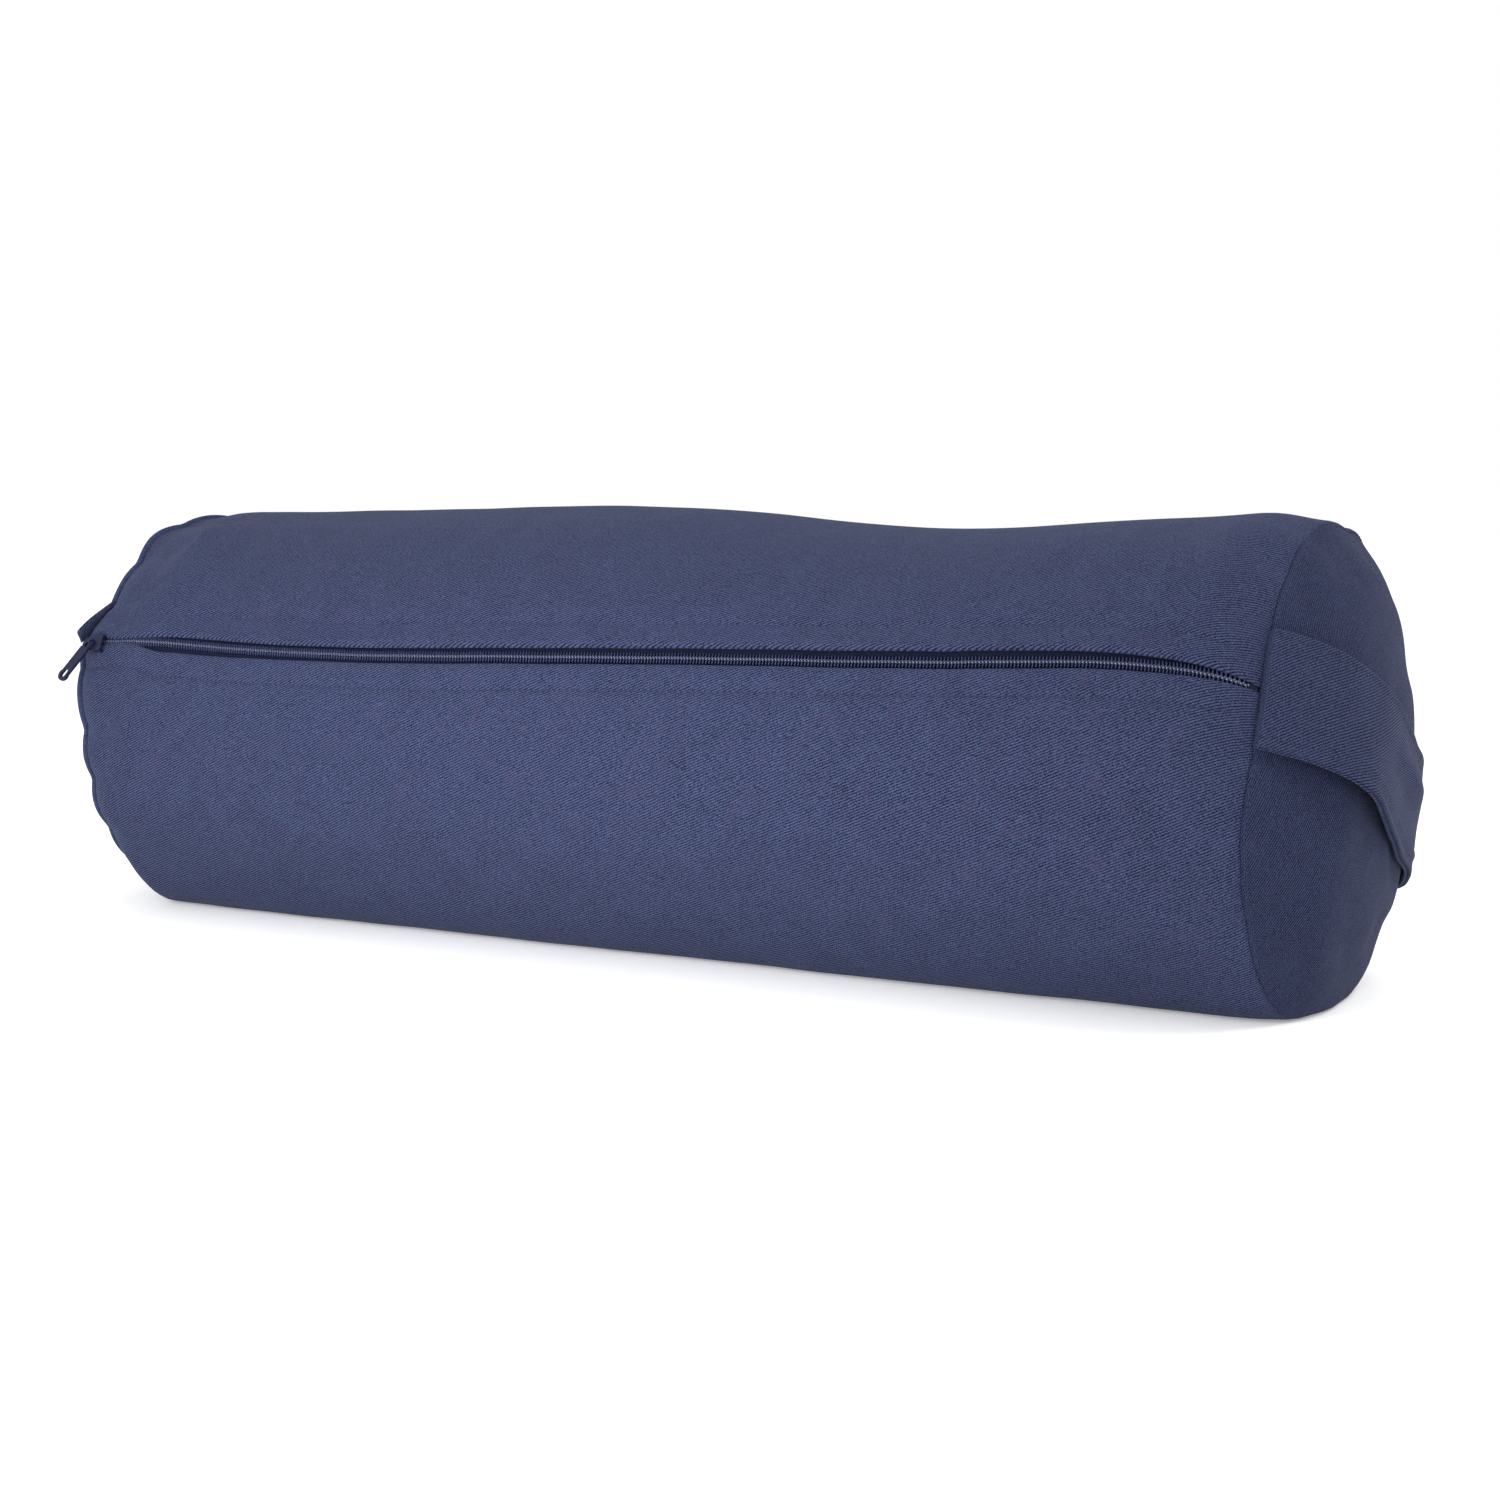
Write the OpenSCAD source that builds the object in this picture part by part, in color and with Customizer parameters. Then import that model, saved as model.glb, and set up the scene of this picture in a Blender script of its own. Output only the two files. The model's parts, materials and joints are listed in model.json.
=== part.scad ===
// Round bolster with a zipped twill cover, a sewn-in strap handle and a filled inner bag.
// The bolster lies along X with its handle at +X and its zip on the front, towards -Y.
// The origin is the middle of the flat on which it rests.

/* [Body] */
// Distance between the two end seams
seam_length = 620; // [500:10:700]
// Radius of the rolled body
body_r = 115; // [100:1:130]
// Depth by which the weight presses the underside flat
floor_flat = 20; // [10:1:28]
// Thickness of the cover's twill
cover_t = 1.2; // [0.8:0.1:1.4]

/* [Ends] */
// Radius of the shoulder at the handle end
right_shoulder_r = 45; // [35:1:55]
// Radius of the shoulder at the plain end
left_shoulder_r = 20; // [16:1:28]
// How far the handle end's seam lies below the body's radius
right_seam_drop = 11; // [6:0.5:14]
// How far the plain end's seam lies below the body's radius
left_seam_drop = 3; // [2:0.5:6]
// Angle from the long axis at which the handle end's crown meets its shoulder
right_crown_angle = 42; // [38:1:48]
// Angle from the long axis at which the plain end's crown meets its shoulder
left_crown_angle = 35; // [30:1:42]

/* [Zip] */
// Height of the zip round the body, as an angle above the horizontal
zip_angle = 25.4; // [10:0.2:40]
// Slope of the zip, which climbs towards the handle, in degrees
zip_slope = 0.9; // [0:0.1:1.5]
// Width of the slit between the cover's folded edges
slit_w = 12; // [11:0.5:16]
// Width of each half of the tape
tape_w = 13; // [11:0.5:15]
// Thickness of the tape
tape_t = 0.7; // [0.5:0.1:0.7]
// Width of each coil, across the zip
coil_w = 2.9; // [2.5:0.1:3]
// Height of the coils above the tape
coil_h = 2.2; // [1.8:0.1:2.2]
// Distance from the middle to the closed slider
slider_x = -303; // [-304:1:-240]
// Length of the slider
slider_l = 10; // [9:0.5:11]
// Width of the slider
slider_w = 9.4; // [9:0.2:10]

/* [Pull tab] */
// Length of the pull tab beyond its pivot
tab_l = 26; // [18:1:32]
// Width of the pull tab
tab_w = 5.6; // [5:0.2:7]
// Thickness of the pull tab
tab_t = 1.4; // [1:0.1:1.4]
// Lean of the hanging tab towards the plain end, in degrees
tab_lean = 31.3; // [0:0.1:45]

/* [Handle] */
// Width of the strap
strap_w = 50; // [35:1:60]
// Thickness of the folded strap
strap_t = 3.5; // [2.5:0.1:4.5]
// Gap between the strap and the crowned end
strap_gap = 6.5; // [6:0.5:12]
// Half length of the strap's middle stretch, which moves over the crown
grip_half = 75.5; // [60:0.5:80]

/* [Filling] */
// Depth of the inner bag below the cover's outside
bag_inset = 3; // [2.8:0.1:4]
// Thickness of the inner bag's cloth
bag_t = 0.8; // [0.6:0.1:1]
// Clearance between the inner bag and the filling
fill_gap = 0.2; // [0.2:0.1:0.6]

/* [Hidden] */
$fn = 96;
eps = 0.15;                                   // half the gap between panels that meet at a seam
big = 1000;                                   // larger than the whole bolster
seam_x = seam_length / 2;
axis_h = body_r - floor_flat;

// Shoulders and crowns: each shoulder arc starts at the body's radius and runs into its crown's arc
function shoulder_reach(rho, drop) = sqrt(rho * rho - (rho - drop) * (rho - drop));
right_core_r = body_r - right_shoulder_r;
left_core_r = body_r - left_shoulder_r;
right_shoulder_x = seam_x - shoulder_reach(right_shoulder_r, right_seam_drop);
left_shoulder_x = -seam_x + shoulder_reach(left_shoulder_r, left_seam_drop);
right_crown_r = right_shoulder_r + right_core_r / sin(right_crown_angle);
left_crown_r = left_shoulder_r + left_core_r / sin(left_crown_angle);
right_crown_x = right_shoulder_x - right_core_r / tan(right_crown_angle);
left_crown_x = left_shoulder_x + left_core_r / tan(left_crown_angle);
right_seam_r = body_r - right_seam_drop;

// Depths below the cover's outside
allowance_in = cover_t + 0.2;                 // outer face of the seam allowance
allowance_out = cover_t + 1.4;                // inner face of the seam allowance
allowance_w = 12;                             // width of the seam allowance
tape_in = coil_h;                             // outer face of the tape
zip_dip = 2.2;                                // depth of the flat that the zip presses into the bag
zip_reach = 14;                               // half height of the gap left for the zip in the seams
running = 0.3;                                // clearance round what moves

// Threads
thread_w = 0.5;
thread_h = 0.4;
thread_lift = 0.1;
topstitch_z = slit_w / 2 + 12;
strap_stitch_inset = 3;

// Zip ends
coil_start_x = slider_x + 2;
coil_end_x = seam_x - 4.5;
tape_end_x = seam_x - 0.5;

// Slider
plate_t = 1.3;
flange_w = 1.4;
post_l = 2.4;
post_w = 2.6;
lug_t = 1.6;
lug_r = 1.5;
pivot_bore_r = 0.85;
pivot_pin_r = 0.55;
pivot_x = slider_x - 1;
plate_low = body_r + running;
plate_top = plate_low + plate_t;
pivot_r = plate_top + 1.5;

// Pull tab
arm_w = 1.2;
arm_l = 5;
arm_top = 0.9;
tab_eye_r = tab_w / 2 + 0.5;
tab_slot_w = 2.6;
tab_slot_l = 5;

// Strap
grip_in = right_crown_r + strap_gap;
grip_out = grip_in + strap_t;
grip_cut = 0.3;
tail_top_y = grip_half + grip_cut;
tail_top_x = right_crown_x + sqrt(grip_in * grip_in - tail_top_y * tail_top_y);
tail_root_x = seam_x + 0.3;
tail_root_y = right_seam_r + 0.3;

// Points of an arc about [r, x], from angle a to angle b, measured from the long axis
function on_arc(r0, x0, r, a) = [r0 + r * sin(a), x0 + r * cos(a)];
function arc(r0, x0, r, a, b, n) = [for (k = [0 : n]) on_arc(r0, x0, r, a + (b - a) * k / n)];

// Half outline of the bolster, inset by i, as [radius, x]
function outline(i) = concat(
  arc(0, right_crown_x, right_crown_r - i, 0, right_crown_angle, 14),
  arc(right_core_r, right_shoulder_x, right_shoulder_r - i, right_crown_angle + 4, 90, 11),
  arc(left_core_r, left_shoulder_x, left_shoulder_r - i, 90, 180 - left_crown_angle - 5, 10),
  arc(0, left_crown_x, left_crown_r - i, 180 - left_crown_angle, 180, 12)
);

module bolster(i) {
  intersection() {
    translate([0, 0, axis_h]) rotate([0, 90, 0]) rotate_extrude() polygon(outline(i));
    translate([-big / 2, -big / 2, max(i, 0)]) cube([big, big, big]);
  }
}

// Layer of the bolster from depth i to depth j
module layer(i, j) {
  difference() {
    bolster(i);
    bolster(j);
  }
}

// Everything from x = a to x = b
module slab(a, b) {
  translate([a, -big / 2, -big / 2]) cube([b - a, big, big]);
}

// The frame of the zip and the strap: -Y points straight out of the cloth, +Z up along it
module at_zip() {
  translate([0, 0, axis_h]) rotate([-zip_angle, 0, 0]) children();
}

// The same frame turned about the closed slider, so that X runs along the sloping zip
module along_zip() {
  at_zip() translate([slider_x, 0, 0]) rotate([0, -zip_slope, 0]) translate([-slider_x, 0, 0]) children();
}

// Box along the zip from x = a to b and z = c to d, through the cloth
module zip_box(a, b, c, d) {
  along_zip() translate([a, -body_r - 10, c]) cube([b - a, 60, d - c]);
}

// The pull tab's frame: X along its pivot, -Z down its length, -Y out of the cloth
module at_pivot() {
  along_zip() translate([pivot_x, -pivot_r, 0]) rotate([0, tab_lean, 0]) children();
}

// Inside of the bag at depth i, pressed flat behind the zip
module bag(i) {
  intersection() {
    bolster(i);
    at_zip() translate([-big / 2, -body_r + i + zip_dip, -big / 2]) cube([big, big, big]);
  }
}

module bag_layer() {
  difference() {
    bag(bag_inset);
    bag(bag_inset + bag_t);
  }
}

module seam_allowance(a, b) {
  difference() {
    intersection() {
      layer(allowance_in, allowance_out);
      slab(a, b);
    }
    zip_box(-big / 2, big / 2, -zip_reach, zip_reach);
  }
}

module seam_thread(x) {
  intersection() {
    layer(-thread_lift - thread_h, -thread_lift);
    slab(x - thread_w / 2, x + thread_w / 2);
    translate([-big / 2, -big / 2, 1]) cube([big, big, big]);
  }
}

module topstitch(z) {
  intersection() {
    layer(-thread_lift - thread_h, -thread_lift);
    zip_box(left_shoulder_x, tape_end_x, z - thread_w / 2, z + thread_w / 2);
  }
}

// One half of the tape or of the coil, between two depths and two heights
module zip_half(i, j, a, b, c, d) {
  intersection() {
    layer(i, j);
    zip_box(a, b, c, d);
  }
}

module cover_body_panel() {
  color("#3a4168")
  difference() {
    intersection() {
      layer(0, cover_t);
      slab(-seam_x + eps, seam_x - eps);
    }
    zip_box(-seam_x - 1, seam_x + 1, -slit_w / 2, slit_w / 2);
  }
}

module cover_end_panel_right() {
  color("#343a5c")
  intersection() {
    layer(0, cover_t);
    slab(seam_x + eps, big / 2);
  }
}

module cover_end_panel_left() {
  color("#343a5c")
  intersection() {
    layer(0, cover_t);
    slab(-big / 2, -seam_x - eps);
  }
}

module seam_allowance_right() {
  color("#4a5070") seam_allowance(seam_x - eps - allowance_w, seam_x - eps);
}

module seam_allowance_left() {
  color("#4a5070") seam_allowance(-seam_x + eps, -seam_x + eps + allowance_w);
}

module end_seam_thread_right() {
  color("#262b4a") seam_thread(seam_x);
}

module end_seam_thread_left() {
  color("#262b4a") seam_thread(-seam_x);
}

module zip_topstitch_upper() {
  color("#262b4a") topstitch(topstitch_z);
}

module zip_topstitch_lower() {
  color("#262b4a") topstitch(-topstitch_z);
}

module zip_tape_upper() {
  color("#20243c") zip_half(tape_in, tape_in + tape_t, coil_start_x, tape_end_x, eps, tape_w);
}

module zip_tape_lower() {
  color("#20243c") zip_half(tape_in, tape_in + tape_t, coil_start_x, tape_end_x, -tape_w, -eps);
}

module zip_coil_upper() {
  color("#15172a") zip_half(0, coil_h, coil_start_x, coil_end_x, 0.1, coil_w);
}

module zip_coil_lower() {
  color("#15172a") zip_half(0, coil_h, coil_start_x, coil_end_x, -coil_w, -0.1);
}

module zip_bartack_right() {
  color("#262b4a")
  zip_half(0, cover_t, coil_end_x + 1, coil_end_x + 3, -slit_w / 2 + 1, slit_w / 2 - 1);
}

module zip_bartack_left() {
  color("#262b4a")
  zip_half(tape_in, tape_in + tape_t, -seam_x + 0.4, -seam_x + 1.4, -slit_w / 2 + 1, slit_w / 2 - 1);
}

// Cut end of the tape and its seam, which stands out past the plain end
module zip_tape_tail() {
  color("#20243c")
  along_zip() translate([-seam_x - 14, -body_r + 1.2, 2]) cube([13.6, 1, 16]);
}

module slider_plate(low, t, w) {
  translate([slider_x - slider_l / 2 + w / 2, -low - t, 0]) rotate([-90, 0, 0]) cylinder(r = w / 2, h = t);
  translate([slider_x - slider_l / 2 + w / 2, -low - t, -w / 2 + 0.4]) cube([slider_l - w / 2, t, w - 0.8]);
}

module slider_flange() {
  translate([slider_x - slider_l / 2 + slider_w / 2, -plate_low - plate_t / 2, slider_w / 2 - flange_w])
    cube([slider_l / 2, plate_t / 2 + tape_in, flange_w - 0.4]);
}

module zip_slider() {
  color("#1b1e30")
  union() {
    along_zip() {
      slider_plate(plate_low, plate_t, slider_w);
      slider_plate(body_r - tape_in - tape_t - running - plate_t + 0.1, plate_t - 0.1, slider_w);
      slider_flange();
      mirror([0, 0, 1]) slider_flange();
      translate([slider_x - slider_l / 2 + 0.6, -plate_low - 0.2, -post_w / 2])
        cube([post_l, tape_in + tape_t + 2 * running + 0.4, post_w]);
    }
    difference() {
      at_pivot() {
        rotate([0, 90, 0]) cylinder(r = lug_r, h = lug_t, center = true);
        translate([-lug_t / 2, 0, -lug_r]) cube([lug_t, pivot_r - plate_top + 0.2, 2 * lug_r]);
      }
      at_pivot() rotate([0, 90, 0]) cylinder(r = pivot_bore_r, h = lug_t + 1, center = true);
    }
  }
}

module zip_pull_tab() {
  inner = lug_t / 2 + running;
  color("#1b1e30")
  at_pivot() {
    rotate([0, 90, 0]) cylinder(r = pivot_pin_r, h = 2 * inner + 1, center = true);
    rotate([90, 0, 0]) linear_extrude(tab_t, center = true) difference() {
      union() {
        for (side = [-1, 1]) translate([side * (inner + arm_w / 2), (arm_top - arm_l) / 2]) square([arm_w, arm_l + arm_top], center = true);
        translate([-inner - arm_w, -arm_l - 1.4]) square([2 * inner + 2 * arm_w, 2.4]);
        translate([-tab_w / 2, -tab_l + tab_eye_r]) square([tab_w, tab_l - tab_eye_r - arm_l]);
        translate([0, -tab_l + tab_eye_r]) circle(r = tab_eye_r);
      }
      translate([0, -tab_l + tab_eye_r]) circle(r = tab_slot_w / 2);
      translate([-tab_slot_w / 2, -tab_l + tab_eye_r]) square([tab_slot_w, tab_slot_l - tab_slot_w]);
      translate([0, -tab_l + tab_eye_r + tab_slot_l - tab_slot_w]) circle(r = tab_slot_w / 2);
    }
  }
}

// Flat end of the strap, from the seam up to the middle stretch
module handle_tail() {
  rise = tail_top_x - tail_root_x;
  spread = tail_root_y - tail_top_y;
  top = [tail_top_x, -tail_top_y];
  root = [tail_root_x, -tail_root_y];
  out = strap_t * [spread, -rise] / norm([rise, spread]);
  translate([0, 0, -strap_w / 2]) linear_extrude(strap_w) polygon([top, root, root + out, top + out]);
}

module handle_tail_front() {
  color("#39406a") at_zip() handle_tail();
}

module handle_tail_back() {
  color("#39406a") at_zip() mirror([0, 1, 0]) handle_tail();
}

// Part of a tube about the crown's centre, kept where the grip is
module grip_arc(r_in, r_out, z, w) {
  intersection() {
    difference() {
      translate([right_crown_x, 0, z]) cylinder(r = r_out, h = w, center = true, $fn = 180);
      translate([right_crown_x, 0, z]) cylinder(r = r_in, h = w + 1, center = true, $fn = 180);
    }
    translate([right_crown_x, -grip_half + grip_cut, -strap_w]) cube([big, 2 * (grip_half - grip_cut), 2 * strap_w]);
  }
}

module handle_grip() {
  color("#39406a") at_zip() grip_arc(grip_in, grip_out, 0, strap_w);
}

module handle_stitching() {
  color("#262b4a")
  at_zip() for (side = [-1, 1]) grip_arc(grip_out + 0.05, grip_out + 0.05 + thread_h, side * (strap_w / 2 - strap_stitch_inset), thread_w);
}

module inner_bag_panel() {
  color("#d8d2c0")
  intersection() {
    bag_layer();
    slab(left_shoulder_x + 1, right_shoulder_x - 1);
  }
}

module inner_bag_end_right() {
  color("#cfc8b4")
  intersection() {
    bag_layer();
    slab(right_shoulder_x - 1 + 2 * eps, big / 2);
  }
}

module inner_bag_end_left() {
  color("#cfc8b4")
  intersection() {
    bag_layer();
    slab(-big / 2, left_shoulder_x + 1 - 2 * eps);
  }
}

// Row of thread that closes the bag after filling
module inner_bag_closing_stitch() {
  color("#b8b098")
  translate([left_shoulder_x + 12, 0, 0]) intersection() {
    difference() {
      translate([0, 0, axis_h]) rotate([0, 90, 0]) cylinder(r = body_r - bag_inset + 0.55, h = thread_w);
      translate([-1, 0, axis_h]) rotate([0, 90, 0]) cylinder(r = body_r - bag_inset + 0.15, h = thread_w + 2);
    }
    translate([-2, -40, axis_h]) cube([4, 80, body_r]);
  }
}

module filling() {
  color("#6b5a45") bag(bag_inset + bag_t + fill_gap);
}

cover_body_panel();
cover_end_panel_right();
cover_end_panel_left();
seam_allowance_right();
seam_allowance_left();
end_seam_thread_right();
end_seam_thread_left();
zip_topstitch_upper();
zip_topstitch_lower();
zip_tape_upper();
zip_tape_lower();
zip_coil_upper();
zip_coil_lower();
zip_bartack_right();
zip_bartack_left();
zip_tape_tail();
zip_slider();
zip_pull_tab();
handle_tail_front();
handle_tail_back();
handle_grip();
handle_stitching();
inner_bag_panel();
inner_bag_end_right();
inner_bag_end_left();
inner_bag_closing_stitch();
filling();
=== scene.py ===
"""A round bolster in a zipped navy twill cover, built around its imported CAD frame.

Everything is in metres in the CAD's frame: +X along the bolster to its handle, -Y to the front with
the zip, +Z up. Most shapes are laid out on the cover: x along it, q round it from the zip's height,
and h above it.
"""

import contextlib
import json
import math

import bmesh
import bpy
import numpy as np
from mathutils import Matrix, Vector


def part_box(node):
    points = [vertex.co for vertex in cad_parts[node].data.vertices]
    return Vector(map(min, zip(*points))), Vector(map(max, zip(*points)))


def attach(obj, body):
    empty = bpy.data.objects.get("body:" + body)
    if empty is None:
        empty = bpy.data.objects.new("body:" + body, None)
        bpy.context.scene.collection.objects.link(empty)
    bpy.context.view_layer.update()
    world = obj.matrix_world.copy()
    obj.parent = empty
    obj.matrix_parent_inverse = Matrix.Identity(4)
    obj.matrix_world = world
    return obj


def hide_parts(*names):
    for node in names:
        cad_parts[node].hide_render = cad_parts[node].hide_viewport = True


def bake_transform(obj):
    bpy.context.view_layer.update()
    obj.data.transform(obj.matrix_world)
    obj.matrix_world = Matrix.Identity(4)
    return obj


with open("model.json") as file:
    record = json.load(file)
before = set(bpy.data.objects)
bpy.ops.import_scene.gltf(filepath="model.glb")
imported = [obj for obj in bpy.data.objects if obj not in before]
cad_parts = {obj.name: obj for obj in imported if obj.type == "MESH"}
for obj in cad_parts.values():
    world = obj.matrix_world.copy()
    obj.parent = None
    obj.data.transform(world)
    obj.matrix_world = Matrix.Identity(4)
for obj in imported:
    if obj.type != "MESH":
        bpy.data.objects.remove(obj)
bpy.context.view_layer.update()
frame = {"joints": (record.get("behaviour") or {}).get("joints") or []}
joints = {j["name"]: j for j in frame["joints"]}

# ---------------------------------------------------------------- sizes, from the frame
body_low, body_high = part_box("cover_body_panel")
SEAM_X = round(body_high.x, 3)                       # distance of each end seam from the middle
RADIUS = round((body_high.y - body_low.y) / 2, 3)    # radius of the rolled body
AXIS_Z = body_high.z - RADIUS                        # height of the long axis
sweep_axis = joints["handle_sweep"]["axis"]
ZIP_ANGLE = math.atan2(sweep_axis[2], -sweep_axis[1])  # height of the zip round the body
SLIDER_X = (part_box("zip_slider")[0].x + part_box("zip_slider")[1].x) / 2

MM = 0.001


# ---------------------------------------------------------------- numbers: curves and noise
def smooth(a, b, x):
    """0 before a, 1 after b, and an S curve between."""
    t = np.clip((np.asarray(x, float) - a) / (b - a), 0, 1)
    return t * t * (3 - 2 * t)


def bell(x, centre, width):
    return np.exp(-(((np.asarray(x, float) - centre) / width) ** 2))


def curve(points, x):
    """A smooth curve through a few (x, y) points."""
    px, py = np.array(points, float).T
    slope = np.gradient(py, px)
    k = np.clip(np.searchsorted(px, x) - 1, 0, len(px) - 2)
    step = px[k + 1] - px[k]
    t = np.clip((x - px[k]) / step, 0, 1)
    from_left, leave = (1 + 2 * t) * (1 - t) ** 2, t * (1 - t) ** 2
    from_right, arrive = t * t * (3 - 2 * t), t * t * (t - 1)
    near, far = from_left * py[k] + leave * step * slope[k], from_right * py[k + 1]
    return near + far + arrive * step * slope[k + 1]


def waves(points, scale, seed, count=9):
    """Smooth noise from -1 to 1 over points, with lumps of about the given size."""
    draw = np.random.default_rng(seed)
    total = np.zeros(points.shape[:-1])
    for _ in range(count):
        way = draw.normal(size=points.shape[-1])
        way *= 2 * math.pi / scale / np.linalg.norm(way) * draw.uniform(0.6, 1.3)
        total += np.sin(points @ way + draw.uniform(0, 2 * math.pi))
    return total / math.sqrt(count) / 1.4


# ---------------------------------------------------------------- the cover's shape
# At the handle end: the length over which the body draws in to the seam, the share of a quarter circle that
# this curve makes, and how far the seam's gathers run in
RIGHT_SHOULDER, RIGHT_TURN, RIGHT_GATHER_REACH = 30 * MM, 0.66, 14 * MM
# At the plain end
LEFT_SHOULDER, LEFT_TURN, LEFT_GATHER_REACH = 17 * MM, 0.8, 24 * MM
FLOOR_SOFT = 3 * MM                  # roundness of the edge of the flat

# Round each end: angle above the front in degrees, and the seam's distance from the long axis
RIGHT_SEAM_R = [(-90, 106), (-60, 111), (-45, 113), (-28, 110.5), (-3, 108), (14, 98.5), (34, 98), (52, 102),
                (75, 110), (110, 115.5), (150, 112), (210, 106)]
LEFT_SEAM_R = [(-90, 96), (-62, 97), (-38, 105), (0, 107), (22, 109), (42, 109), (66, 118), (100, 118),
               (150, 112), (210, 103)]
# Round each end: angle, and how far the seam lies beyond its flat ring, away from the middle
RIGHT_SEAM_OUT = [(-90, 14), (-62, 10), (-46, 3), (-30, 0), (25, 0), (50, -0.5), (75, 2), (108, 8), (150, 7),
                  (210, 6)]
LEFT_SEAM_OUT = [(-90, -6), (-60, -1), (-35, 3), (-10, 2.5), (8, 5), (22, 10), (48, 3), (65, 3), (100, 2),
                 (160, 2), (220, -2)]


def round_curve(points, a):
    """A smooth closed curve through (degrees, millimetres) points, at the angles a."""
    turn = [(math.radians(d + 360 * k), v * MM) for k in (-1, 0, 1) for d, v in points]
    return curve(turn, np.mod(np.asarray(a, float) + math.pi, 2 * math.pi) - math.pi)


def around_body(x, a):
    """Points on a plain roll, for noise that runs on over the whole cover."""
    x, a = np.broadcast_arrays(np.asarray(x, float), a)
    return np.stack([x, RADIUS * np.cos(a), RADIUS * np.sin(a)], -1)


def swell(x, a):
    """How far the filled body stands out from its CAD radius, at angle a above the front."""
    top = np.maximum(np.sin(a), 0)
    inner = smooth(0, 40 * MM, SEAM_X - np.abs(x))
    fuller = 1.6 * MM * (1 - smooth(-0.16, 0.02, x)) * (0.2 + 0.8 * top) * inner
    middle = 3.6 * MM * bell(x, -0.05, 0.11) * top ** 2
    ends = (4.4 * MM * bell(x, -0.285, 0.03) + 2.5 * MM * bell(x, 0.288, 0.018)) * top ** 2
    saddle = -7.0 * MM * bell(x, 0.140, 0.085) * top ** 2
    belly = 5.0 * MM * smooth(-0.1, 0.15, x) * bell(a, math.radians(-50), 0.36)
    place = around_body(x, a)
    lumps = 0.8 * MM * waves(place, 0.11, 3) + 0.35 * MM * waves(place, 0.045, 5)
    return fuller + middle + ends + saddle + belly + lumps


def gather(a, folds, seed):
    """Puffs between the pinches of a gathered seam: 0 in a pinch and 1 on a puff."""
    draw = np.random.default_rng(seed)
    warp = sum(draw.uniform(0.4, 0.9) * np.sin(k * a + draw.uniform(0, 6.3)) for k in (1, 2, 3, 5))
    return np.abs(np.sin(folds * a / 2 + warp))


def right_gather(a):
    return (1.2 * MM + 1.0 * MM * bell(a, math.radians(115), 0.5)) * (gather(a, 23, 11) - 0.62)


def left_gather(a):
    return 3.1 * MM * (gather(a, 19, 23) - 0.62)


def quarter(reach, part):
    """0 to 1 along the first part of a quarter circle's drop."""
    return (1 - np.sqrt(1 - (part * reach) ** 2)) / (1 - math.sqrt(1 - part ** 2))


def body_radius(x, a):
    """Radius of the cover's body at x and angle a above the front."""
    x = np.asarray(x, float)
    base = RADIUS + swell(x, a)
    right = quarter(np.clip((x - SEAM_X + RIGHT_SHOULDER) / RIGHT_SHOULDER, 0, 1), RIGHT_TURN)
    left = quarter(np.clip((LEFT_SHOULDER - SEAM_X - x) / LEFT_SHOULDER, 0, 1), LEFT_TURN)
    base = base + (round_curve(RIGHT_SEAM_R, a) - base) * right
    base = base + (round_curve(LEFT_SEAM_R, a) - base) * left
    base = base + np.exp(-(SEAM_X - x) / RIGHT_GATHER_REACH) * right_gather(a)
    return base + np.exp(-(SEAM_X + x) / LEFT_GATHER_REACH) * left_gather(a)


def along_body(x, a):
    """Where x lies once the seams at the ends have moved out or in."""
    out = round_curve(RIGHT_SEAM_OUT, a) * smooth(0.20, SEAM_X, x)
    return x + out - round_curve(LEFT_SEAM_OUT, a) * smooth(0.22, SEAM_X, -np.asarray(x))


def round_body(x, a, r):
    """The point at x, at angle a above the front and radius r, pressed flat where it meets the floor."""
    x, a, r = np.broadcast_arrays(x, a, r)
    z = AXIS_Z + r * np.sin(a)
    z = (z + np.sqrt(z * z + FLOOR_SOFT ** 2)) / 2
    return np.stack([x, -r * np.cos(a), z], -1)


def on_body(x, q, h):
    """The point on the cover at x, q round from the zip's height and h above the cloth."""
    a = ZIP_ANGLE + np.asarray(q, float) / RADIUS
    return on_cover(x, a, h)


def on_cover(x, a, h):
    """The point on the body at x and angle a above the front, h above the cloth."""
    place = round_body(along_body(x, a), a, body_radius(x, a) + h)
    return place + drift["body"].at(x, a) if "body" in drift else place


drift = {}                           # what the cloth simulation adds, once it has run


class Drift:
    """Small moves over a grid of places along the cover and angles round it."""

    def __init__(self, places, moves):
        self.places, self.moves = places, moves

    def at(self, place, a):
        place, a = np.broadcast_arrays(np.asarray(place, float), a)
        rows, cols = self.moves.shape[:2]
        row = np.interp(place, self.places, np.arange(rows))
        col = np.mod(a, 2 * math.pi) / (2 * math.pi) * cols
        r, c = np.minimum(row.astype(int), rows - 2), col.astype(int)
        u, v = (row - r)[..., None], (col - c)[..., None]
        c, n = c % cols, (c + 1) % cols
        low = self.moves[r, c] * (1 - v) + self.moves[r, n] * v
        high = self.moves[r + 1, c] * (1 - v) + self.moves[r + 1, n] * v
        return low * (1 - u) + high * u


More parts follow.
